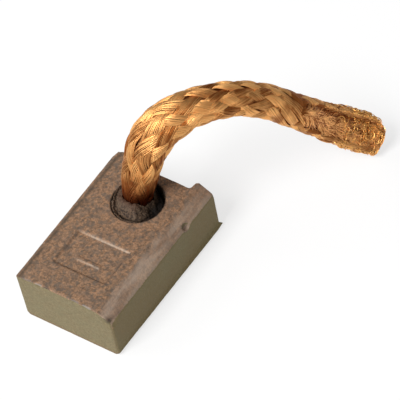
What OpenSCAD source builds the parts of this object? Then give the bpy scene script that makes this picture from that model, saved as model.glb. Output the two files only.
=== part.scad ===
// Carbon brush of copper and graphite, with a braided copper shunt tamped into it.
// The block lies on its plain side: contact face towards -Y, spring end towards +Y,
// pressed face up. The origin is at the middle of the side that it lies on.

/* [Block] */
// Width of the block, across the holder
block_width = 10; // [9:0.1:13]
// Length of the block, from the contact face to the spring end
block_length = 15.9; // [15:0.1:20]
// Thickness of the block, at the crown of its pressed face
block_height = 5.6; // [5.2:0.1:7]
// How far the pressed face falls from its crown to its long edges
crown = 0.17; // [0.05:0.01:0.2]
// Break along the two long edges of the plain side
edge_break = 0.4; // [0.1:0.05:0.6]
// Break of the two upright edges at the contact face
corner_break = 0.15; // [0.05:0.05:0.4]

/* [Long bevels] */
// Width of the wide bevel, seen from above
wide_bevel_width = 1.3; // [0.8:0.05:1.6]
// Drop of the wide bevel
wide_bevel_drop = 0.8; // [0.4:0.05:1]
// Radius where the wide bevel runs into the side
wide_bevel_blend = 0.5; // [0.1:0.05:1]
// Width of the narrow bevel, seen from above
narrow_bevel_width = 0.45; // [0.2:0.05:0.8]
// Drop of the narrow bevel
narrow_bevel_drop = 0.15; // [0.1:0.05:0.6]

/* [Spring seat] */
// Width of the notch that the spring presses in
seat_width = 6.6; // [4:0.1:7.2]
// Depth of the notch
seat_depth = 0.9; // [0.7:0.05:1.2]
// Radius in the corners of its floor
seat_fillet = 0.25; // [0.1:0.05:0.3]
// Radius at its mouth, on each horn
seat_mouth = 0.4; // [0.1:0.05:0.4]

/* [Pressed mark] */
// Width of the shallow field pressed into the face
mark_width = 5.5; // [3:0.1:6.5]
// Length of the field
mark_length = 3.9; // [2:0.1:4.5]
// Depth of the field, below the crown
mark_depth = 0.22; // [0.15:0.01:0.4]
// Distance from the contact face to the field
mark_setback = 2.75; // [2:0.05:3.2]
// Sideways shift of the field
mark_shift = -0.1; // [-0.5:0.1:0.5]
// Width of the raised bar in the field
bar_width = 2.4; // [1:0.1:2.8]
// Breadth of the bar, along the block
bar_breadth = 0.3; // [0.2:0.05:0.6]
// Distance from the near side of the field to the bar
bar_setback = 1.2; // [0.6:0.1:1.4]
// Height of the bar above the floor of the field
bar_height = 0.1; // [0.05:0.01:0.14]

/* [Tamping hole] */
// Diameter of the hole that the shunt is tamped into
hole_diameter = 4.8; // [4.4:0.1:5.2]
// Depth of the hole, from the crown
hole_depth = 3.6; // [3:0.1:4]
// Distance from the spring end to the hole's axis
hole_setback = 4.25; // [3.6:0.05:4.5]

/* [Tamping powder] */
// How far the powder lies below the crown at the rim of the hole
powder_sink = 0.3; // [0.2:0.05:0.5]
// Width of the groove between the rim and the mound
groove_width = 0.2; // [0.1:0.05:0.3]
// Height of the mound above the crown
mound_rise = 0.5; // [0.2:0.05:0.8]
// Width of the mound's top around the shunt
mound_land = 0.2; // [0.1:0.05:0.4]
// Slope of the mound's flank, in degrees
mound_slope = 40; // [30:1:60]

/* [Shunt] */
// Diameter of the braid
shunt_diameter = 3.2; // [3:0.1:3.6]
// Diameter of the braid where the powder grips it
root_diameter = 2.9; // [2.6:0.1:3]
// Thickness of the powder under the end of the braid
root_cover = 0.4; // [0.2:0.1:0.8]
// How far off the hole's axis the braid stands, sideways
root_shift_x = -0.3; // [-0.4:0.05:0.4]
// How far off the hole's axis the braid stands, towards the spring end
root_shift_y = 0.6; // [0:0.05:0.7]
// Direction that the braid arches in, from +X towards +Y
arch_turn = 54.3; // [40:0.1:60]
// Width of the flattened tail
tail_width = 3.8; // [3.4:0.1:4.4]
// Thickness of the flattened tail
tail_thickness = 2.4; // [2:0.1:2.6]
// Length over which the braid flattens to its tail
tail_length = 9; // [6:0.5:12]
// Roll of the flattened tail about the braid
tail_roll = 54; // [0:1:90]

/* [Hidden] */

graphite_brown = [0.50, 0.40, 0.34];
powder_grey = [0.33, 0.29, 0.26];
copper = [0.80, 0.55, 0.33];

// Overlap of cutting shapes with open air
over = 1;

// Block
half_width = block_width / 2;
half_length = block_length / 2;
edge_z = block_height - crown;
crown_left = narrow_bevel_width - half_width;
crown_right = half_width - wide_bevel_width;
crown_middle = (crown_left + crown_right) / 2;
crown_chord = crown_right - crown_left;
crown_radius = (pow(crown_chord / 2, 2) + pow(crown, 2)) / (2 * crown);
wide_bevel_angle = atan2(wide_bevel_drop, wide_bevel_width);
narrow_bevel_angle = atan2(narrow_bevel_drop, narrow_bevel_width);
blend_turn = 90 - wide_bevel_angle;
blend_z = edge_z - wide_bevel_drop - wide_bevel_blend * tan(blend_turn / 2);
sky_z = block_height + over;

// Chip broken out of the lower edge of the wide bevel
chip_radius = 0.5;
chip_setback = 4.2;
chip_centre = [half_width + 0.08, half_length - chip_setback, edge_z - wide_bevel_drop + 0.12];

// Hole, powder and root of the shunt
hole_y = half_length - hole_setback;
hole_floor = block_height - hole_depth;
powder_rim = block_height - powder_sink;
mound_top = block_height + mound_rise;
mound_radius = root_diameter / 2 + mound_land;
mound_run = (mound_top - hole_floor) / tan(mound_slope);
root_x = root_shift_x;
root_y = hole_y + root_shift_y;
root_floor = hole_floor + root_cover;

// Route of the braid above the powder: how far out from its root, and how high above the
// surface that the block lies on. Its first point is at the top of the mound.
route = [
    [0, 6.1], [0.5, 7.9], [1.1, 9.7], [1.9, 11.4], [3.2, 12.8], [4.8, 13.5], [6.6, 13.7],
    [8.5, 13.4], [10.3, 12.8], [11.9, 11.8], [13.3, 10.6], [14.6, 9.2], [15.9, 7.8],
    [17.2, 6.4], [18.5, 5.1], [19.8, 3.8], [21.1, 2.5], [22.3, 1.35]
];
route_steps = 3;
sides = 8;
swell_length = 2.5;

// ---------------------------------------------------------------- helpers

// Points on an arc, both ends included
function arc(centre, radius, from, to, steps) =
    [for (i = [0 : steps]) let (a = from + (to - from) * i / steps)
        centre + radius * [cos(a), sin(a)]];

// One coordinate of a Catmull-Rom curve between b and c
function spline(a, b, c, d, t) =
    b + t / 2 * (c - a + t * (2 * a - 5 * b + 4 * c - d + t * (3 * (b - c) + d - a)));

// The route's first point follows the top of the mound, and its last one stays put
reach = route[len(route) - 1].x;
function lifted(p) = [p.x, p.y + (mound_top - route[0].y) * (1 - p.x / reach)];
knots = [for (p = route) lifted(p)];
last = len(knots) - 1;
function knot(i) = i < 0 ? 2 * knots[0] - knots[1] : knots[min(i, last)];

arch = [for (i = [0 : last - 1], k = [0 : route_steps - 1])
    spline(knot(i - 1), knot(i), knot(i + 1), knot(i + 2), k / route_steps)];
line = concat([[0, root_floor], [0, mound_top - 0.001]], arch, [knots[last]]);
rings = len(line);
function gap(i) = norm(line[i] - line[i - 1]);
function sum_to(v, i) = i < 0 ? 0 : v[i] + sum_to(v, i - 1);
steps_along = [for (i = [0 : rings - 1]) i < 2 ? 0 : gap(i)];
along = [for (i = [0 : rings - 1]) sum_to(steps_along, i)];
free_length = along[rings - 1];

// 0 below the first value, 1 above the second, smooth between
function ease(x, from, to) =
    let (t = max(0, min(1, (x - from) / (to - from)))) t * t * (3 - 2 * t);

// ---------------------------------------------------------------- block

// Section across the block, in X and Z; its top is left open for the crown
module block_section() {
    polygon(concat(
        [[edge_break - half_width, 0], [half_width - edge_break, 0], [half_width, edge_break]],
        arc([half_width - wide_bevel_blend, blend_z], wide_bevel_blend, 0, blend_turn, 8),
        [[half_width - wide_bevel_width - (sky_z - edge_z) / tan(wide_bevel_angle), sky_z],
         [narrow_bevel_width - half_width + (sky_z - edge_z) / tan(narrow_bevel_angle), sky_z],
         [-half_width, edge_z - narrow_bevel_drop], [-half_width, edge_break]]
    ));
}

// Half of the outline seen from above, on +X, from the contact face to the notch's middle
function half_outline() = let (
        notch = seat_width / 2,
        mouth = [notch + seat_mouth, half_length - seat_mouth],
        corner = [notch - seat_fillet, half_length - seat_depth + seat_fillet]
    ) concat(
        [[half_width - corner_break, -half_length], [half_width, corner_break - half_length],
         [half_width, half_length]],
        arc(mouth, seat_mouth, 90, 180, 6),
        arc(corner, seat_fillet, 0, -90, 6)
    );

module block_plan() {
    right = half_outline();
    count = len(right);
    polygon(concat(right, [for (i = [1 : count]) [-right[count - i].x, right[count - i].y]]));
}

// Shallow field with one plain raised bar
module pressed_mark() {
    floor_z = block_height - mark_depth;
    translate([mark_shift - mark_width / 2, mark_setback - half_length, floor_z])
        difference() {
            cube([mark_width, mark_length, mark_depth + over]);
            translate([(mark_width - bar_width) / 2, bar_setback, -over])
                cube([bar_width, bar_breadth, bar_height + over]);
        }
}

module brush_block() {
    color(graphite_brown)
    difference() {
        intersection() {
            translate([0, half_length, 0])
                rotate([90, 0, 0])
                    linear_extrude(block_length) block_section();
            linear_extrude(sky_z) block_plan();
            translate([crown_middle, half_length + over, block_height - crown_radius])
                rotate([90, 0, 0])
                    cylinder(r = crown_radius, h = block_length + 2 * over, $fn = 480);
        }
        pressed_mark();
        translate([0, hole_y, hole_floor])
            cylinder(d = hole_diameter, h = hole_depth + over, $fn = 96);
        translate(chip_centre) sphere(r = chip_radius, $fn = 32);
    }
}

// ---------------------------------------------------------------- powder and shunt

// Plug of powder that fills the hole, with a mound around the braid
module tamped_powder() {
    color(powder_grey)
    difference() {
        union() {
            translate([0, hole_y, hole_floor])
                cylinder(d = hole_diameter, h = powder_rim - hole_floor, $fn = 96);
            intersection() {
                translate([0, hole_y, hole_floor])
                    cylinder(r = hole_diameter / 2 - groove_width, h = mound_top - hole_floor,
                        $fn = 96);
                translate([root_x, root_y, hole_floor])
                    cylinder(r1 = mound_radius + mound_run, r2 = mound_radius,
                        h = mound_top - hole_floor, $fn = 96);
            }
        }
        translate([root_x, root_y, root_floor])
            rotate(arch_turn)
                cylinder(d = root_diameter, h = mound_top - root_floor + over, $fn = sides);
    }
}

// One ring of the braid, round at first and flattened towards the tail
function ring(i) = let (
        before = line[max(i - 1, 0)],
        after = line[min(i + 1, rings - 1)],
        rise = i < 3 ? 90 : atan2(after.y - before.y, after.x - before.x),
        out = [cos(arch_turn), sin(arch_turn), 0],
        up = [-sin(rise) * out.x, -sin(rise) * out.y, cos(rise)],
        aside = [out.y, -out.x, 0],
        swell = ease(along[i], 0, swell_length),
        flat = ease(along[i], free_length - tail_length, free_length),
        round_r = root_diameter / 2 + (shunt_diameter - root_diameter) / 2 * swell,
        wide = round_r + (tail_width / 2 - round_r) * flat,
        thin = round_r + (tail_thickness / 2 - round_r) * flat,
        centre = [root_x, root_y, 0] + line[i].x * out + [0, 0, line[i].y]
    )
    [for (k = [0 : sides - 1]) let (
            a = 360 * k / sides,
            across = thin * cos(a - tail_roll),
            length_wise = wide * sin(a - tail_roll),
            u = across * cos(tail_roll) - length_wise * sin(tail_roll),
            v = across * sin(tail_roll) + length_wise * cos(tail_roll)
        ) centre + u * up + v * aside];

module copper_shunt() {
    ends = [[for (k = [0 : sides - 1]) k],
            [for (k = [sides - 1 : -1 : 0]) (rings - 1) * sides + k]];
    skin = [for (i = [0 : rings - 2], k = [0 : sides - 1], half = [0, 1]) let (
            a = i * sides + k,
            b = i * sides + (k + 1) % sides
        ) half == 0 ? [a, a + sides, b] : [b, a + sides, b + sides]];
    color(copper)
        polyhedron(points = [for (i = [0 : rings - 1]) each ring(i)], faces = concat(ends, skin));
}

brush_block();
tamped_powder();
copper_shunt();
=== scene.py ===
"""Looks of a carbon brush: a copper-graphite block with a braided copper shunt tamped into it."""

import math

import bmesh
import bpy
import numpy as np
from mathutils import Matrix, Vector, noise


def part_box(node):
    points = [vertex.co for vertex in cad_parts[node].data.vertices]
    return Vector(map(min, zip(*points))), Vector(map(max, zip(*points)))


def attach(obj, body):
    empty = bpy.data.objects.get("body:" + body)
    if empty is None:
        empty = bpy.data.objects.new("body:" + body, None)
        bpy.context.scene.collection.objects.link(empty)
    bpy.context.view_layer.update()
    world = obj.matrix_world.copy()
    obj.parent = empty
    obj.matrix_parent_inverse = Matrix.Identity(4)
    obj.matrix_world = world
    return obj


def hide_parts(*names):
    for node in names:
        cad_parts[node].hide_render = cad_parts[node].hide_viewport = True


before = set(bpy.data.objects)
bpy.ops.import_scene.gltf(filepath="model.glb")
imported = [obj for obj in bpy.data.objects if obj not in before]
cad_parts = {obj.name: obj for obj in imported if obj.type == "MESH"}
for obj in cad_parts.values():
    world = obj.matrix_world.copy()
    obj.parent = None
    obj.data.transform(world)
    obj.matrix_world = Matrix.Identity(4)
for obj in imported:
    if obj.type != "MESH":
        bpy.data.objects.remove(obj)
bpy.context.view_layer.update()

MM = 0.001
rng = np.random.default_rng(7)

# ------------------------------------------------------------------ camera

AZIMUTH = math.radians(43.1)
ELEVATION = math.radians(49.7)
ROLL = math.radians(-12.45)
TARGET = Vector((5.10, 6.01, 6.00)) * MM
DISTANCE = 216.3 * MM
LENS_MM = 225


def make_camera():
    back = Vector((math.sin(AZIMUTH) * math.cos(ELEVATION),
                   -math.cos(AZIMUTH) * math.cos(ELEVATION),
                   math.sin(ELEVATION)))
    level = back.cross(Vector((0, 0, -1))).normalized()
    upright = back.cross(level)
    right = level * math.cos(ROLL) + upright * math.sin(ROLL)
    up = upright * math.cos(ROLL) - level * math.sin(ROLL)
    data = bpy.data.cameras.new("camera")
    data.lens = LENS_MM
    data.sensor_width = 36
    data.clip_start = 0.005
    camera = bpy.data.objects.new("camera", data)
    bpy.context.scene.collection.objects.link(camera)
    turn = Matrix((right, up, back)).transposed().to_4x4()
    camera.matrix_world = Matrix.Translation(TARGET + back * DISTANCE) @ turn
    bpy.context.scene.camera = camera


make_camera()

# ------------------------------------------------------------------ route of the shunt

# The route's points, as in the part's source: out from the root, and height
ROUTE = [(x * MM, z * MM) for x, z in (
    (0, 6.1), (0.5, 7.9), (1.1, 9.7), (1.9, 11.4), (3.2, 12.8), (4.8, 13.5), (6.6, 13.7),
    (8.5, 13.4), (10.3, 12.8), (11.9, 11.8), (13.3, 10.6), (14.6, 9.2), (15.9, 7.8),
    (17.2, 6.4), (18.5, 5.1), (19.8, 3.8), (21.1, 2.5), (22.3, 1.35))]
ARCH_TURN = math.radians(54.3)
ROOT_SHIFT = Vector((-0.3, 0.6, 0)) * MM
ROOT_COVER = 0.4 * MM
SHUNT_DIAMETER = 3.2 * MM
TAIL_ROLL = math.radians(54)

powder_low, powder_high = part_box("tamped_powder")
HOLE_AXIS = Vector(((powder_low.x + powder_high.x) / 2, (powder_low.y + powder_high.y) / 2, 0))
ROOT = HOLE_AXIS + ROOT_SHIFT
OUT = np.array([math.cos(ARCH_TURN), math.sin(ARCH_TURN), 0.0])
ASIDE = np.array([OUT[1], -OUT[0], 0.0])


def spline(a, b, c, d, t):
    return b + t / 2 * (c - a + t * (2 * a - 5 * b + 4 * c - d + t * (3 * (b - c) + d - a)))


def smooth_line(points, steps):
    """Catmull-Rom line through the points, as in the part's source."""
    knots = np.vstack([2 * points[0] - points[1], points, points[-1]])
    line = [spline(*knots[i:i + 4], k / steps)
            for i in range(len(knots) - 3) for k in range(steps)]
    return np.array(line + [points[-1]])


class Shunt:
    """The braid's centreline, with a frame and a section at each distance along it."""

    def __init__(self):
        arch = smooth_line(np.array(ROUTE), 24)
        root = np.array([[0, z] for z in np.linspace(powder_low.z + ROOT_COVER, ROUTE[0][1], 12)])
        flat = np.vstack([root[:-1], arch])
        lengths = np.linalg.norm(np.diff(flat, axis=0), axis=1)
        along = np.concatenate([[0], np.cumsum(lengths)])
        self.along = along - along[len(root) - 1]  # 0 where the braid leaves the powder
        self.flat = flat
        rise = np.gradient(flat, axis=0)
        rise[:len(root) - 1] = (0, 1)
        self.rise = rise / np.linalg.norm(rise, axis=1)[:, None]
        self.start, self.end = self.along[0], self.along[-1]

    def frame(self, a):
        """Centre of the section and its axis in the plane of the arch, at the distances a."""
        x = np.interp(a, self.along, self.flat[:, 0])
        z = np.interp(a, self.along, self.flat[:, 1])
        tx = np.interp(a, self.along, self.rise[:, 0])
        tz = np.interp(a, self.along, self.rise[:, 1])
        size = np.hypot(tx, tz)
        tx, tz = tx / size, tz / size
        centre = np.array([ROOT.x, ROOT.y, 0]) + x[..., None] * OUT
        centre[..., 2] += z
        tangent = tx[..., None] * OUT
        tangent[..., 2] += tz
        centre = centre + tangent * np.maximum(a - self.end, 0)[..., None]
        up = -tz[..., None] * OUT
        up[..., 2] += tx
        return centre, up


shunt = Shunt()

# Half the braid's width, at distances from the mound: loose and swollen in its first bend
SWELL = np.array([(-4, 1.36), (0, 1.38), (1.6, 1.56), (3.4, 1.72), (6, 1.92), (8.4, 1.88),
                  (11, 1.66), (14, 1.54), (20, 1.52), (23, 1.57), (26, 1.66), (29, 1.76),
                  (32, 1.66)]) * MM
TAIL_LENGTH = 9 * MM
TAIL_HALF_THICKNESS = 1.15 * MM
# The hollow along the upper side of the flattened end, which grows shallow again at the tip
TROUGH_DEPTH = 0.75 * MM
TROUGH_LENGTH = 10.5 * MM
TROUGH_FADE_LENGTH = 1.4 * MM
TROUGH_FADE = 0.8  # share of its depth that it loses there
# Where the hollow's two walls start and end, as the cosine of the angle from its middle
UPPER_WALL = (0.62, 0.82)
LOWER_WALL = (0.4, 0.9)
# How far the end is cut back everywhere, and more at its upper and lower edges
CUT_BASE, CUT_UPPER, CUT_LOWER = 0.2 * MM, 2.3 * MM, 0.5 * MM
CUT_ZONE = 3 * MM  # length over which that is taken up


def ease(x, low, high):
    """0 below low, 1 above high, and smooth between them."""
    t = np.clip((x - low) / (high - low), 0, 1)
    return t * t * (3 - 2 * t)


def cut_back(turn, lift):
    """How far the wires at an angle round the braid, and below its surface, end short of its tip."""
    side = np.sin(turn - TAIL_ROLL) * np.clip(1 + lift / SWELL[-1, 1], 0, 1)
    upper = np.clip(-side - 0.25, 0, 1) ** 2
    lower = np.clip(side - 0.55, 0, 1) ** 2
    return CUT_BASE + CUT_UPPER * upper + CUT_LOWER * lower


def on_braid(a, turn, lift):
    """Points at the distances a, at the angle turn round the braid, lift above its surface."""
    a = a - cut_back(turn, lift) * ease(a, shunt.end - CUT_ZONE, shunt.end)
    centre, up = shunt.frame(a)
    half = np.interp(a, SWELL[:, 0], SWELL[:, 1])
    flat = ease(a, shunt.end - TAIL_LENGTH, shunt.end - MM)
    thin = half + (TAIL_HALF_THICKNESS - half) * flat
    across = np.cos(turn - TAIL_ROLL)
    aside = np.sin(turn - TAIL_ROLL)
    hollow = ease(a, shunt.end - TROUGH_LENGTH, shunt.end - 0.55 * TROUGH_LENGTH)
    hollow = hollow * (1 - TROUGH_FADE * ease(a, shunt.end - TROUGH_FADE_LENGTH, shunt.end))
    wall = np.where(aside < 0, ease(across, *UPPER_WALL), ease(across, *LOWER_WALL))
    trough = TROUGH_DEPTH * hollow * wall
    p = (thin + lift) * across - trough
    q = (half + lift) * aside
    u = p * math.cos(TAIL_ROLL) - q * math.sin(TAIL_ROLL)
    v = p * math.sin(TAIL_ROLL) + q * math.cos(TAIL_ROLL)
    return centre + u[..., None] * up + v[..., None] * ASIDE


# ------------------------------------------------------------------ mesh helpers


def add_mesh(name, points, faces, smooth=True):
    mesh = bpy.data.meshes.new(name)
    mesh.from_pydata([tuple(p) for p in points], [], [tuple(f) for f in faces])
    mesh.validate()
    if smooth:
        mesh.shade_smooth()
    piece = bpy.data.objects.new(name, mesh)
    bpy.context.scene.collection.objects.link(piece)
    return piece


def tube_mesh(lines, radii, sides):
    """Closed tubes along the lines, as points and faces."""
    points, faces = [], []
    base = 0
    for line, radius in zip(lines, radii):
        line = np.asarray(line)
        count = len(line)
        tangent = np.gradient(line, axis=0)
        tangent /= np.linalg.norm(tangent, axis=1)[:, None] + 1e-12
        side = np.cross(tangent[0], (0.31, 0.22, 0.92))
        if np.linalg.norm(side) < 0.1:
            side = np.cross(tangent[0], (1, 0, 0))
        normals = np.empty_like(line)
        for i in range(count):
            side = side - tangent[i] * (side @ tangent[i])
            side = side / (np.linalg.norm(side) + 1e-12)
            normals[i] = side
        binormals = np.cross(tangent, normals)
        radius = np.broadcast_to(radius, count)
        for k in range(sides):
            angle = 2 * math.pi * k / sides
            ring = normals * math.cos(angle) + binormals * math.sin(angle)
            points.append(line + ring * radius[:, None])
        for i in range(count - 1):
            for k in range(sides):
                n = (k + 1) % sides
                faces.append((base + k * count + i, base + n * count + i,
                              base + n * count + i + 1, base + k * count + i + 1))
        faces.append([base + k * count for k in range(sides - 1, -1, -1)])
        faces.append([base + k * count + count - 1 for k in range(sides)])
        base += count * sides
    return np.vstack(points), faces


def set_tone(piece, tones):
    """Stores the copper's tone at each point of the mesh, for its material: how clean it is, with
    painted reflection and shade in it.
    """
    tone = piece.data.attributes.new("tone", "FLOAT", "POINT")
    tone.data.foreach_set("value", np.clip(tones, 0, 1).astype(np.float32))


def wander(count, steps, size):
    """Smooth random drift with about one knot every few steps."""
    knots = max(3, count // steps)
    values = rng.normal(0, size, knots + 3)
    t = np.linspace(0, knots - 0.001, count)
    i = t.astype(int)
    f = t - i
    f = f * f * (3 - 2 * f)
    return values[i] * (1 - f) + values[i + 1] * f


# ------------------------------------------------------------------ materials


class Shader:
    """A node tree that is written as short calls."""

    def __init__(self, name):
        self.material = bpy.data.materials.new(name)
        self.material.use_nodes = True
        self.tree = self.material.node_tree
        self.surface = self.tree.nodes["Principled BSDF"]
        self.place = self.tree.nodes.new("ShaderNodeTexCoord").outputs["Object"]

    def node(self, kind, settings=(), **inputs):
        made = self.tree.nodes.new(kind)
        for key, value in dict(settings).items():
            setattr(made, key, value)
        for key, value in inputs.items():
            self.feed(made.inputs[key.replace("_", " ")], value)
        return made

    def feed(self, socket, value):
        if isinstance(value, bpy.types.NodeSocket):
            self.tree.links.new(value, socket)
        else:
            socket.default_value = value

    def noise(self, scale, detail=2.0, rough=0.5, vector=None):
        made = self.node("ShaderNodeTexNoise", Scale=scale, Detail=detail, Roughness=rough)
        self.feed(made.inputs["Vector"], vector or self.place)
        return made.outputs["Fac"]

    def cells(self, scale):
        made = self.node("ShaderNodeTexVoronoi", Scale=scale, Vector=self.place)
        return made.outputs["Color"]

    def ramp(self, value, low, high):
        """0 at low, 1 at high, and level beyond them."""
        made = self.node("ShaderNodeMapRange", Value=value)
        made.inputs["From Min"].default_value = low
        made.inputs["From Max"].default_value = high
        return made.outputs["Result"]

    def math(self, operation, a, b=0.0):
        made = self.node("ShaderNodeMath", {"operation": operation})
        self.feed(made.inputs[0], a)
        self.feed(made.inputs[1], b)
        return made.outputs[0]

    def times(self, a, b):
        return self.math("MULTIPLY", a, b)

    def fall(self, value, low, high):
        """1 at low, 0 at high, and level beyond them."""
        return self.math("SUBTRACT", 1.0, self.ramp(value, low, high))

    def near(self, value, place, inner, outer):
        """1 within inner of the place, 0 beyond outer."""
        gap = self.math("ABSOLUTE", self.math("SUBTRACT", value, place))
        return self.fall(gap, inner, outer)

    def stretched(self, *scales):
        made = self.node("ShaderNodeMapping", Vector=self.place)
        made.inputs["Scale"].default_value = scales
        return made.outputs["Vector"]

    def mix(self, share, a, b):
        made = self.node("ShaderNodeMix", {"data_type": "RGBA"})
        self.feed(made.inputs["Factor"], share)
        # its sockets for colours, which come after those for numbers and vectors
        for socket, value in zip(made.inputs[6:8], (a, b)):
            self.feed(socket, value if isinstance(value, bpy.types.NodeSocket) else (*value, 1))
        return made.outputs[2]

    def tint(self, base, mask, share, colour):
        """The base with a share of the colour on it where the mask is 1."""
        return self.mix(self.times(mask, share), base, colour)

    def distance(self, place):
        made = self.node("ShaderNodeVectorMath", {"operation": "DISTANCE"})
        self.feed(made.inputs[0], self.place)
        made.inputs[1].default_value = place
        return made.outputs["Value"]

    def axes(self, source=None):
        made = self.node("ShaderNodeSeparateXYZ")
        self.feed(made.inputs[0], source or self.place)
        return made.outputs

    def finish(self, colour, rough, height, bump, metallic=0.0):
        self.feed(self.surface.inputs["Base Color"], colour)
        self.feed(self.surface.inputs["Roughness"], rough)
        self.surface.inputs["Metallic"].default_value = metallic
        made = self.node("ShaderNodeBump", Height=height, Distance=bump)
        made.inputs["Strength"].default_value = 1.0
        self.feed(self.surface.inputs["Normal"], made.outputs["Normal"])
        return self.material


# Faces of the block and radius of its hole, as in the part's source
FRONT, REAR, RIGHT, LEFT = -7.95 * MM, 7.95 * MM, 5 * MM, -5 * MM
HOLE_RADIUS = 2.4 * MM
# Nicks in the upper front edge: middle, length and colour
NICKS = [(-2.5 * MM, 0.7 * MM, (0.27, 0.255, 0.235)), (-1.6 * MM, 0.6 * MM, (0.05, 0.04, 0.035)),
         (2.6 * MM, 0.8 * MM, (0.27, 0.26, 0.24)), (1.4 * MM, 0.7 * MM, (0.16, 0.145, 0.13)),
         (-3.7 * MM, 0.8 * MM, (0.14, 0.13, 0.12))]
# Painted highlights along lips of the pressed mark, where its walls catch the light: place, ends and
# strength
MARK_LIP_HIGHLIGHTS = [(-1.36 * MM, -3.2 * MM, 2.7 * MM, 0.55), (-4.0 * MM, -1.8 * MM, 1.2 * MM, 0.5)]
# The chip in the arris below the bevel, and the dirt at the arris's front end
DARK_SPOTS = [(4.95 * MM, 3.75 * MM, 4.75 * MM), (4.75 * MM, -7.75 * MM, 4.7 * MM)]


def pressed_face(s, fine, grain, patch):
    """Brown, with copper and slate-grey grains, and darker and paler blotches."""
    face = s.mix(s.ramp(grain, 0.3, 0.7), (0.117, 0.073, 0.045), (0.365, 0.207, 0.115))
    face = s.tint(face, s.ramp(fine, 0.52, 0.7), 0.45, (0.50, 0.28, 0.16))
    face = s.tint(face, s.ramp(s.cells(3600), 0.45, 0.75), 0.55, (0.11, 0.096, 0.08))
    face = s.tint(face, s.ramp(patch, 0.45, 0.75), 0.4, (0.135, 0.10, 0.078))
    blotch = s.noise(1900, 2, 0.55)
    face = s.tint(face, s.ramp(blotch, 0.56, 0.68), 0.5, (0.085, 0.066, 0.055))
    return s.tint(face, s.ramp(blotch, 0.46, 0.34), 0.25, (0.42, 0.25, 0.155))


def pale_streaky_bevel(s, face, x, y, patch):
    """The bevel on the face, paler in streaks along the block: the streaks are its own, and the
    paleness is partly painted highlight where it faces the light.
    """
    along = s.noise(1500, 2, 0.6, s.stretched(1, 0.16, 1))
    from_left = s.math("ADD", x, s.times(patch, 0.8 * MM))
    bevel = s.ramp(from_left, 4 * MM, 4.5 * MM)
    pale_streaks = s.mix(s.ramp(along, 0.35, 0.65), (0.23, 0.148, 0.10), (0.42, 0.32, 0.24))
    # partly painted highlight: the bevel made paler where it faces the light
    face = s.tint(face, bevel, 0.55, pale_streaks)
    band = s.times(bevel, s.fall(from_left, 4.5 * MM, 5.1 * MM))
    band = s.times(band, s.ramp(along, 0.3, 0.5))
    band = s.times(band, s.fall(y, -4 * MM, 6 * MM))
    return s.tint(face, band, 0.5, (0.46, 0.36, 0.285))


def crease_and_mark_shading(s, face, x, y, grain, patch):
    """Painted shade in a crease inside the left edge, painted highlights on the mark's lips, and
    painted shade on the mark's right wall.
    """
    # painted shade along a crease just inside the left edge
    crease = s.times(s.near(x, -4.6 * MM, 0.05 * MM, 0.3 * MM), s.ramp(patch, 0.2, 0.5))
    face = s.tint(face, crease, 0.75, (0.075, 0.052, 0.035))
    for place, start, end, share in MARK_LIP_HIGHLIGHTS:
        # painted highlight: a pale line where the mark's wall catches the light
        lip = s.near(y, place, 0.03 * MM, 0.1 * MM)
        reach = s.times(s.ramp(x, start, start + 2 * MM), s.fall(x, end - 0.1 * MM, end))
        lip = s.times(s.times(lip, reach), s.ramp(grain, 0.25, 0.5))
        face = s.tint(face, lip, share, (0.50, 0.39, 0.30))
    # painted shade along the mark's right wall, which faces away from the light
    wall = s.near(x, 2.6 * MM, 0, 0.2 * MM)
    reach = s.times(s.ramp(y, -5.3 * MM, -4.9 * MM), s.fall(y, -1.5 * MM, -1.2 * MM))
    wall = s.times(s.times(wall, reach), s.ramp(patch, 0.25, 0.55))
    return s.tint(face, wall, 0.6, (0.075, 0.05, 0.035))


def nicked_edge(s, face, x, y, z, fine):
    """Bare or dirty spots where the upper front edge is nicked."""
    edge = s.fall(s.math("ADD", y, s.times(fine, 0.25 * MM)), FRONT + 0.2 * MM, FRONT + 0.35 * MM)
    high = s.ramp(z, 5.1 * MM, 5.2 * MM)
    for place, length, colour in NICKS:
        nick = s.times(s.near(x, place, 0.4 * length, 0.6 * length), edge)
        face = s.tint(face, s.times(nick, high), 0.7, colour)
    return face


def ground_sides(s, normal, x, y, z, fine, grain, patch):
    """Olive and finely ground; on the right side darker, as painted shade, and browner, also in
    patches; browner at the foot and at the front arris.
    """
    side = s.mix(s.ramp(fine, 0.25, 0.75), (0.138, 0.108, 0.053), (0.243, 0.195, 0.103))
    side = s.tint(side, s.ramp(grain, 0.5, 0.7), 0.3, (0.25, 0.185, 0.10))
    side = s.tint(side, s.ramp(patch, 0.4, 0.7), 0.35, (0.18, 0.165, 0.088))
    # painted shade: the right side made darker, as it faces away from the light
    right_side_shade_and_tint = s.ramp(normal[0], 0.5, 0.9)
    side = s.tint(side, right_side_shade_and_tint, 0.45, (0.17, 0.138, 0.05))
    browner = s.times(right_side_shade_and_tint, s.ramp(s.noise(220), 0.4, 0.6))
    side = s.tint(side, browner, 0.4, (0.19, 0.125, 0.05))
    foot = s.fall(s.math("ADD", z, s.times(fine, 0.2 * MM)), 0.35 * MM, 0.6 * MM)
    side = s.tint(side, foot, 0.45, (0.20, 0.115, 0.05))
    arris = s.times(s.ramp(x, 4.8 * MM, 4.95 * MM), s.fall(y, FRONT, FRONT + 0.12 * MM))
    return s.tint(side, arris, 0.6, (0.12, 0.07, 0.035))


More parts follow.
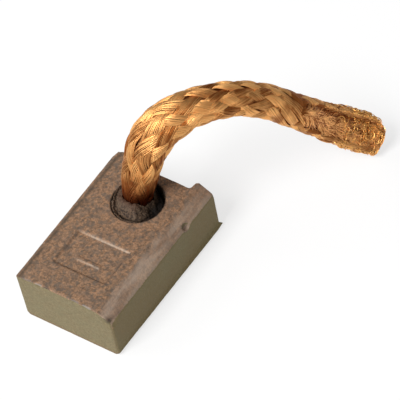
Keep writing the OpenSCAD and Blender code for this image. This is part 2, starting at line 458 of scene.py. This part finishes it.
def block_material():
    """Pressed and speckled on the top, streaky on the bevel, finely ground on the sides."""
    s = Shader("copper_graphite")
    s.surface.inputs["Specular IOR Level"].default_value = 0.3
    normal = s.axes(s.tree.nodes.new("ShaderNodeNewGeometry").outputs["Normal"])
    x, y, z = s.axes()
    fine = s.noise(7000, 2, 0.6)
    grain = s.noise(4300, 2, 0.6)
    patch = s.noise(900, 2, 0.5)
    pressed = pressed_face(s, fine, grain, patch)
    pressed = pale_streaky_bevel(s, pressed, x, y, patch)
    pressed = crease_and_mark_shading(s, pressed, x, y, grain, patch)
    pressed = nicked_edge(s, pressed, x, y, z, fine)
    ground = ground_sides(s, normal, x, y, z, fine, grain, patch)
    # the pressed look lies on what faces up, with a ragged border, and on the underside
    uneven = s.times(s.math("SUBTRACT", grain, 0.5), 0.35)
    facing = s.ramp(s.math("ADD", normal[2], uneven), 0.3, 0.42)
    facing = s.times(facing, s.ramp(z, MM, 2 * MM))
    facing = s.math("MAXIMUM", facing, s.ramp(normal[2], -0.5, -0.7))
    colour = s.mix(facing, ground, pressed)
    for place in DARK_SPOTS:
        ragged = s.math("ADD", s.distance(place), s.times(fine, 0.4 * MM))
        colour = s.tint(colour, s.fall(ragged, 0.35 * MM, 0.75 * MM), 0.75, (0.05, 0.036, 0.028))
    # the hole's wall and rim, painted nearly black as painted shade in the hole
    around = s.node("ShaderNodeCombineXYZ", X=s.math("SUBTRACT", x, HOLE_AXIS.x),
                    Y=s.math("SUBTRACT", y, HOLE_AXIS.y))
    radius = s.node("ShaderNodeVectorMath", {"operation": "LENGTH"})
    s.feed(radius.inputs[0], around.outputs["Vector"])
    wall = s.fall(radius.outputs["Value"], HOLE_RADIUS + 0.03 * MM, HOLE_RADIUS + 0.15 * MM)
    colour = s.tint(colour, wall, 0.85, (0.03, 0.02, 0.014))
    rough = s.math("ADD", 0.5, s.times(grain, 0.25))
    height = s.math("ADD", s.times(grain, facing), s.times(fine, 0.4))
    return s.finish(colour, rough, height, 0.035 * MM, metallic=0.15)


def powder_material():
    """Rammed metal-graphite powder: reddish on the mound, and painted nearly black deep in the hole
    as painted shade.
    """
    s = Shader("tamping_powder")
    s.surface.inputs["Specular IOR Level"].default_value = 0.3
    z = s.axes()[2]
    grain = s.noise(5600, 3, 0.65)
    patch = s.noise(1400, 2, 0.5)
    colour = s.mix(s.ramp(grain, 0.36, 0.66), (0.016, 0.009, 0.006), (0.145, 0.09, 0.054))
    colour = s.tint(colour, s.ramp(patch, 0.52, 0.66), 0.4, (0.135, 0.096, 0.066))
    colour = s.tint(colour, s.ramp(z, 5.75 * MM, 6.1 * MM), 0.55, (0.06, 0.022, 0.01))
    # painted shade: nearly black where the powder lies deep in the hole and in the hollow beside the
    # braid
    colour = s.tint(colour, s.fall(z, 4.7 * MM, 5.25 * MM), 0.95, (0.006, 0.004, 0.003))
    rough = s.math("ADD", 0.6, s.times(patch, 0.2))
    return s.finish(colour, rough, grain, 0.07 * MM, metallic=0.1)


# Heat and oil stains on the braid's root, with painted shade where it goes into the hole: heights,
# share and colour
ROOT_STAINS_AND_SHADE = [(7.6 * MM, 10.4 * MM, 0.85, (0.37, 0.095, 0.024)),
               (6.9 * MM, 8.5 * MM, 0.95, (0.12, 0.02, 0.006))]


def copper_material(name, bright, deep, least_rough=0.4):
    """Bare copper wire: bright where it is clean, deep in patches, dark red at the root from stains
    and painted shade.

    The mesh's tone, 0 to 1, says how clean the wire is at each point, with painted reflection and
    shade in it. least_rough is the roughness of its smoothest places.
    """
    s = Shader(name)
    _, y, z = s.axes()
    patch = s.noise(900, 3, 0.6)
    spots = s.noise(2600, 2, 0.6)
    tone = s.node("ShaderNodeAttribute", {"attribute_name": "tone"}).outputs["Fac"]
    # the tone holds painted reflection and shade as well as how clean the wire is
    clean = s.math("ADD", tone, s.times(s.math("SUBTRACT", patch, 0.5), 0.9))
    colour = s.mix(s.ramp(clean, 0.1, 0.9), deep, bright)
    near_root = s.fall(y, 6.2 * MM, 7.6 * MM)
    height = s.math("ADD", z, s.times(patch, 2 * MM))
    # stains and painted shade on the root, darkest nearest the powder
    for low, high, share, stain_and_shade in ROOT_STAINS_AND_SHADE:
        colour = s.tint(colour, s.times(s.fall(height, low, high), near_root), share, stain_and_shade)
    rough = s.math("ADD", least_rough, s.times(spots, 0.2))
    return s.finish(colour, rough, spots, 0.01 * MM, metallic=1.0)


BLOCK = block_material()
POWDER = powder_material()
STRAND_COPPER = copper_material("copper_strands", (0.98, 0.55, 0.205), (0.36, 0.12, 0.028))
# dark copper on the inner wires, as painted shade between the bundles
SHADED_CORE_COPPER = copper_material("copper_inner_wires_shade", (0.30, 0.12, 0.045), (0.18, 0.06, 0.02))
FRAY_COPPER = copper_material("copper_frayed_wires", (1.0, 0.56, 0.17), (0.5, 0.16, 0.03), 0.2)
CRUSHED_COPPER = copper_material("copper_crushed_wires", (1.0, 0.51, 0.19), (0.23, 0.065, 0.015),
                                 0.24)


def dress(piece, material):
    piece.data.materials.clear()
    piece.data.materials.append(material)
    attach(piece, "root")


# ------------------------------------------------------------------ the braided shunt

CARRIERS = 8  # bundles that turn each way
WIRES = 15  # wires side by side in one bundle
WIRE_RADIUS = 0.043 * MM  # where the braid is 3 mm wide
# Length in which a bundle turns once round the braid, at distances from the mound
LAYS = np.array([(-4, 36), (1, 34), (4, 25), (7, 23), (11, 18), (17, 16.5), (23, 18),
                 (33, 20)]) * MM
BUNDLE_SHARE = 0.9  # of the room between two bundles that turn the same way
WAVE = 0.095 * MM  # how far a bundle goes over and under the ones that it crosses
BULGE = 0.11 * MM  # how much lower a bundle's edges lie than its middle
STEP = 0.18 * MM  # between the points of a wire
SIDES = 5  # of each wire's section
WEAVE_START = -0.5 * MM  # just inside the powder
WEAVE_LIFT = 0.06 * MM  # of the bundles' tops above the braid's half width
CORE_DEPTH = 0.23 * MM  # of the inner wires below it
CORE_SHORTER = 0.5 * MM  # how far short of the tip they end
CUT_ENDS = 520
CRUSHED_RADIUS = 0.038 * MM
CRUSHED_REACH = 10.6  # mm from the tip
FRAY_RADIUS = 0.032 * MM
# Tone of the bundles that turn each way, in the first bend and in the arch: painted reflection, one
# way lighter and the other darker, as their wires would catch the light
CELL_SHEEN_TONE = {1: (0.78, 0.94), -1: (0.5, 0.36)}
TAIL_TONE = 0.5  # of all of them in the flattened end
FLOAT_FROM, FLOAT_TO = 18 * MM, 20.5 * MM  # here the bundles of sense +1 lie on top

# Angle that a bundle has turned by each distance
twist_along = np.linspace(-5 * MM, 33 * MM, 600)
twist = np.cumsum(2 * math.pi / np.interp(twist_along, LAYS[:, 0], LAYS[:, 1]))
twist *= twist_along[1] - twist_along[0]


def bundle_tone(a, sense, crossings, floating, tail):
    """A bundle's tone along its way: another random tone each time that it comes to the top, on
    painted reflection that differs with the way it turns.
    """
    cell = np.floor((crossings + (0.5 if sense > 0 else 1.5)) / 2).astype(int)
    cell -= cell.min()
    bend_tone, arch_tone = CELL_SHEEN_TONE[sense]
    arch = ease(a, 8 * MM, 13 * MM)
    tone = rng.normal(0, 0.27, cell.max() + 1)[cell]
    tone = tone + bend_tone + (arch_tone - bend_tone) * arch - 0.5 * floating
    tone = tone - 0.15 * ease(a, 17 * MM, 20 * MM)
    return tone + (TAIL_TONE - tone) * 0.7 * tail


def wire_lines(sense, carrier):
    """Wires of one bundle, sense +1 or -1 for the way that it turns: lines, radius and tones."""
    end = shunt.end + 0.05 * MM
    a = np.append(np.arange(WEAVE_START, end, STEP), end)
    pitch = 2 * math.pi / CARRIERS
    turned = np.interp(a, twist_along, twist)
    turn = sense * turned + carrier * pitch + wander(len(a), 14, 0.11)
    crossings = CARRIERS * turned / math.pi
    tail = ease(a, shunt.end - TAIL_LENGTH, shunt.end - 0.6 * TAIL_LENGTH)
    packed = 0.7 * (1 - ease(a, 0.5 * MM, 3 * MM))  # flat where it leaves the powder
    floating = ease(a, FLOAT_FROM, FLOAT_FROM + MM) * (1 - ease(a, FLOAT_TO, FLOAT_TO + MM))
    loose = wander(len(a), 12, 0.02 * MM)
    width = BUNDLE_SHARE * (1 + wander(len(a), 14, 0.13))
    tone = bundle_tone(a, sense, crossings, floating, tail)
    lines, tones = [], []
    for k in range(WIRES):
        share = k / (WIRES - 1) - 0.5
        over = sense * np.cos(math.pi * (crossings + sense * share))
        over = np.tanh(1.5 * over) / math.tanh(1.5)
        over = over + (sense * 0.8 - 0.6 * over) * floating
        lift = WAVE * (over - 1) * (1 - 0.5 * tail) * (1 - packed) - BULGE * 4 * share ** 2
        lift = lift - WIRE_RADIUS + loose
        lift = lift + wander(len(a), 5, 0.008 * MM) + wander(len(a), 4, 0.05 * MM) * tail
        spread = share * width * pitch + wander(len(a), 9, 0.016)
        spread = spread + wander(len(a), 5, 0.05) * tail
        lines.append(on_braid(a, turn + spread, lift + WEAVE_LIFT))
        tones.append(np.tile(tone + rng.normal(0, 0.12), SIDES))
    radius = WIRE_RADIUS * np.interp(a, SWELL[:, 0], SWELL[:, 1]) / (1.5 * MM)
    return lines, radius, np.concatenate(tones)


def make_strands():
    strands = []
    for number in range(2 * CARRIERS):
        sense = 1 if number < CARRIERS else -1
        offset = number % CARRIERS
        lines, radius, tones = wire_lines(sense, offset)
        points, faces = tube_mesh(lines, [radius] * WIRES, SIDES)
        strand = add_mesh(f"shunt_strand_{number + 1:02d}", points, faces)
        set_tone(strand, tones)
        dress(strand, STRAND_COPPER)
        strands.append(strand)
    return strands


def make_core():
    """The inner wires, coloured dark so that they show as painted shade in the gaps between the
    bundles.
    """
    end = shunt.end - CORE_SHORTER
    a = np.append(np.arange(shunt.start, end, 0.4 * MM), end)
    sides = 32
    turn = np.arange(sides) * 2 * math.pi / sides
    rings = [on_braid(np.full(sides, d), turn, np.full(sides, -CORE_DEPTH)) for d in a]
    count = len(rings)
    faces = [(i * sides + k, (i + 1) * sides + k, (i + 1) * sides + (k + 1) % sides,
              i * sides + (k + 1) % sides) for i in range(count - 1) for k in range(sides)]
    faces.append(list(range(sides)))
    faces.append([(count - 1) * sides + k for k in range(sides - 1, -1, -1)])
    core = add_mesh("shunt_inner_wires", np.vstack(rings), faces)
    set_tone(core, np.full(count * sides, 0.4))
    dress(core, SHADED_CORE_COPPER)
    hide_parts("copper_shunt")
    return core, a


def hollow_shade(place, side):
    """Tone taken off as painted shade along the upper wall of the hollow, and in pits under the
    curls at the tip.
    """
    wall = math.exp(-((side + 0.5) / 0.14) ** 2)
    pitted = noise.noise(Vector((place * 1.3, side * 3, 0))) > 0.02
    return 0.5 * wall + 0.5 * pitted * ease(-place, -5.5, -3.5)


def curled_wires(count, steps, reach, spread, heading, length, curl, lift, radius, clean):
    """Short loose wires on the braid's flattened end, each in a curl of its own.

    reach is how far from the tip they start, in mm, and spread how far round from the middle of
    the hollow. heading and curl turn them away from the braid's direction, at first and along
    them. length and lift are in mm, and clean is their tone.
    """
    lines, tones = [], []
    t = np.linspace(0, 1, steps)
    for _ in range(count):
        place = rng.uniform(*reach)
        side = rng.uniform(*spread) * (1 - 0.7 * ease(place, 5, CRUSHED_REACH))
        size = rng.uniform(*length) * MM
        angle = rng.normal(0, heading) + rng.uniform(*curl) * rng.choice((-1, 1)) * t
        a = shunt.end - place * MM + np.cumsum(np.cos(angle)) * size / steps
        a = np.minimum(a, shunt.end + 0.1 * MM)
        swing = TAIL_ROLL + side + np.cumsum(np.sin(angle)) * size / steps / (SHUNT_DIAMETER / 2)
        rise = (lift[0] + np.sin(t * math.pi) * rng.uniform(0, lift[1] - lift[0])) * MM
        lines.append(on_braid(a, swing, rise))
        # painted shade along the hollow's upper wall and in pits at the tip
        dark = hollow_shade(place, side) if radius == CRUSHED_RADIUS else 0
        tones.append(np.full(steps * SIDES, rng.normal(clean, 0.33) - dark))
    points, faces = tube_mesh(lines, [radius] * count, SIDES)
    return points, faces, np.concatenate(tones)


def joined(*meshes):
    """One set of points, faces and tones out of several."""
    points, faces, tones = [], [], []
    shift = 0
    for some_points, some_faces, some_tones in meshes:
        points.append(some_points)
        faces += [tuple(k + shift for k in face) for face in some_faces]
        tones.append(some_tones)
        shift += len(some_points)
    return np.vstack(points), faces, np.concatenate(tones)


def cut_ends():
    """Ends of the inner wires, seen only from the tip."""
    lines, tones = [], []
    steps = 4
    for _ in range(CUT_ENDS):
        a = shunt.end - np.linspace(1.1, rng.uniform(0, 0.25), steps) * MM
        turn = np.full(steps, rng.uniform(-math.pi, math.pi))
        lines.append(on_braid(a, turn, np.full(steps, -rng.uniform(0.08, 1.7) * MM)))
        tones.append(np.full(steps * SIDES, rng.normal(0.5, 0.3)))
    points, faces = tube_mesh(lines, [FRAY_RADIUS] * len(lines), SIDES)
    return points, faces, np.concatenate(tones)


def make_loose_wires(name, material, *meshes):
    points, faces, tones = joined(*meshes)
    piece = add_mesh(name, points, faces)
    set_tone(piece, tones)
    dress(piece, material)
    return piece


core, core_path = make_core()
strands = make_strands()
crumple = make_loose_wires(
    "shunt_crushed_wires", CRUSHED_COPPER,
    curled_wires(1050, steps=8, reach=(0, CRUSHED_REACH), spread=(-0.6, 0.7), heading=0.5,
                 length=(0.5, 1.6), curl=(0, 1.3), lift=(-0.08, 0.02), radius=CRUSHED_RADIUS,
                 clean=0.62),
    curled_wires(420, steps=8, reach=(4.5, CRUSHED_REACH), spread=(-0.55, 0.7), heading=0.35,
                 length=(0.7, 2.0), curl=(0, 0.9), lift=(0.0, 0.05), radius=CRUSHED_RADIUS,
                 clean=0.45),
    cut_ends())
fray = make_loose_wires(
    "shunt_frayed_wires", FRAY_COPPER,
    curled_wires(170, steps=12, reach=(0, 5), spread=(-1.6, 0.25), heading=1.2,
                 length=(0.9, 2.2), curl=(2, 5), lift=(-0.02, 0.2), radius=FRAY_RADIUS,
                 clean=0.95),
    curled_wires(80, steps=12, reach=(0, 5), spread=(0.8, 1.8), heading=0.8,
                 length=(0.7, 1.8), curl=(1, 5), lift=(-0.02, 0.2), radius=FRAY_RADIUS,
                 clean=0.9))
path_points = shunt.frame(core_path)[0]

# ------------------------------------------------------------------ block and powder

BLOCK_VOXEL = 0.1 * MM
POWDER_VOXEL = 0.06 * MM


def solid_copy(node, name, voxel):
    """The node's own solid as an even mesh with its arrises just broken."""
    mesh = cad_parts[node].data.copy()
    work = bmesh.new()
    work.from_mesh(mesh)
    bmesh.ops.remove_doubles(work, verts=work.verts, dist=1e-7)
    work.to_mesh(mesh)
    work.free()
    piece = bpy.data.objects.new(name, mesh)
    bpy.context.scene.collection.objects.link(piece)
    remesh = piece.modifiers.new("even", "REMESH")
    remesh.mode = "VOXEL"
    remesh.voxel_size = voxel
    bpy.context.view_layer.update()
    done = bpy.data.meshes.new_from_object(
        piece.evaluated_get(bpy.context.evaluated_depsgraph_get()))
    piece.modifiers.clear()
    piece.data = done
    done.name = name
    done.shade_smooth()
    return piece


def vertex_values(mesh, key):
    values = np.empty(len(mesh.vertices) * 3)
    mesh.vertices.foreach_get(key, values)
    return values.reshape(-1, 3)


def roughen(piece, size, scale):
    """Moves each point along its normal by a little noise."""
    mesh = piece.data
    points = vertex_values(mesh, "co")
    shift = np.array([noise.noise(Vector(p) * scale) for p in points])
    points += vertex_values(mesh, "normal") * (shift * size)[:, None]
    mesh.vertices.foreach_set("co", points.ravel())
    mesh.update()


def reshape(piece, change):
    """Moves the mesh's points by a function of their coordinates."""
    points = vertex_values(piece.data, "co")
    x, y, z = points.T.copy()
    change(x, y, z)
    piece.data.vertices.foreach_set("co", np.column_stack([x, y, z]).ravel())
    piece.data.update()


def wear_block(x, y, z):
    """Pressing burrs along the lower right edge, a lip along the upper left, worn corners.

    Nothing of it goes below the face that the block lies on.
    """
    back = (y - FRONT) / (REAR - FRONT)
    low = np.clip(1 - np.abs(z - 0.3 * MM) / (0.4 * MM), 0, 1)
    right = ease(x, 4.3 * MM, RIGHT)
    x += low * right * (0.08 + 0.2 * back) * MM
    burr = low * right ** 2 * ease(y, 7.2 * MM, REAR)
    y += 0.35 * MM * burr
    z += 0.15 * MM * burr
    high = ease(z, 3.5 * MM, 5.2 * MM)
    x -= high * ease(-x, 4.2 * MM, -LEFT) * (0.02 + 0.14 * back) * MM
    # the arris below the bevel, worn round at its front end
    corner = np.hypot(x - RIGHT, z - 4.6 * MM)
    worn = np.clip(1 - corner / (0.9 * MM), 0, 1) * ease(-y, 6.6 * MM, -FRONT)
    x -= 0.22 * MM * worn
    z -= 0.18 * MM * worn
    y += 0.15 * MM * worn
    # the left horn's corner
    corner = np.hypot(x - LEFT, y - REAR)
    worn = np.clip(1 - corner / (0.9 * MM), 0, 1) * ease(z, 3 * MM, 5 * MM)
    x += 0.16 * MM * worn
    y -= 0.16 * MM * worn
    # nicks along the upper front edge
    edge = np.clip(1 - np.hypot(y - FRONT, z - 5.5 * MM) / (0.4 * MM), 0, 1)
    for place, length, _ in NICKS:
        dent = edge * np.clip(1.3 - np.abs(x - place) / (0.5 * length), 0, 1)
        y += 0.07 * MM * dent
        z -= 0.05 * MM * dent
    np.maximum(z, 0, out=z)


def wear_powder(x, y, z):
    """Hollow beside the braid, where powder has broken away, and elsewhere a gap inside the rim."""
    angle = np.degrees(np.arctan2(y - HOLE_AXIS.y, x - HOLE_AXIS.x))
    from_hole = np.hypot(x - HOLE_AXIS.x, y - HOLE_AXIS.y)
    from_root = np.hypot(x - ROOT.x, y - ROOT.y)
    top = ease(z, 3 * MM, 5.2 * MM)
    side = ease(angle, -70, 15) * (1 - ease(angle, 70, 95))
    z -= 1.4 * MM * top * side * ease(from_root, 1.15 * MM, 1.7 * MM)
    rim = np.exp(-((from_hole - 2.28 * MM) / (0.12 * MM)) ** 2)
    gap = np.exp(-((from_hole - 1.98 * MM) / (0.14 * MM)) ** 2)
    z += (0.2 * rim - 0.3 * gap) * (1 - side) * top * MM


def make_block():
    block = solid_copy("brush_block", "block_body", BLOCK_VOXEL)
    roughen(block, 0.012 * MM, 2500)
    reshape(block, wear_block)
    dress(block, BLOCK)
    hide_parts("brush_block")


def make_powder():
    powder = solid_copy("tamped_powder", "powder_plug", POWDER_VOXEL)
    reshape(powder, wear_powder)
    roughen(powder, 0.09 * MM, 2600)
    roughen(powder, 0.05 * MM, 7000)
    dress(powder, POWDER)
    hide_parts("tamped_powder")


make_block()
make_powder()

# ------------------------------------------------------------------ floor and light

FLOOR_GLOW = 0.7  # share of plain white in what the camera sees of the floor


def make_floor():
    size = 0.6
    points = [(-size, -size, 0), (size, -size, 0), (size, size, 0), (-size, size, 0)]
    floor = add_mesh("floor", points, [(0, 1, 2, 3)], smooth=False)
    s = Shader("floor_white")
    shade = s.noise(60, 2, 0.5)
    colour = s.mix(s.times(shade, 0.05), (0.95, 0.95, 0.95), (0.92, 0.92, 0.92))
    floor.data.materials.append(s.finish(colour, 0.8, shade, 0.001 * MM))
    rays = s.node("ShaderNodeLightPath").outputs
    seen = s.math("MAXIMUM", rays["Is Camera Ray"],
                  s.math("MAXIMUM", rays["Is Glossy Ray"], rays["Is Transmission Ray"]))
    white = s.node("ShaderNodeEmission", Color=(1, 1, 1, 1), Strength=1.0)
    both = s.node("ShaderNodeMixShader", Fac=s.times(seen, FLOOR_GLOW))
    s.feed(both.inputs[1], s.surface.outputs[0])
    s.feed(both.inputs[2], white.outputs[0])
    s.feed(s.tree.nodes["Material Output"].inputs["Surface"], both.outputs[0])


def make_light(name, place, size, watts):
    data = bpy.data.lights.new(name, "AREA")
    data.energy = watts
    data.size = size
    lamp = bpy.data.objects.new(name, data)
    bpy.context.scene.collection.objects.link(lamp)
    spot = Vector(place)
    aim = (TARGET - spot).to_track_quat("-Z", "Y")
    lamp.matrix_world = Matrix.Translation(spot) @ aim.to_matrix().to_4x4()


def make_world():
    world = bpy.data.worlds.new("world")
    world.use_nodes = True
    tree = world.node_tree
    background = tree.nodes["Background"]
    background.inputs["Color"].default_value = (1, 1, 1, 1)
    background.inputs["Strength"].default_value = 0.3
    bpy.context.scene.world = world


make_floor()
make_light("key", (-0.05, -0.32, 0.40), 0.24, 2.65)
make_light("left", (-0.38, -0.20, 0.26), 0.3, 0.7)
make_world()
bpy.context.scene.view_settings.view_transform = "Standard"
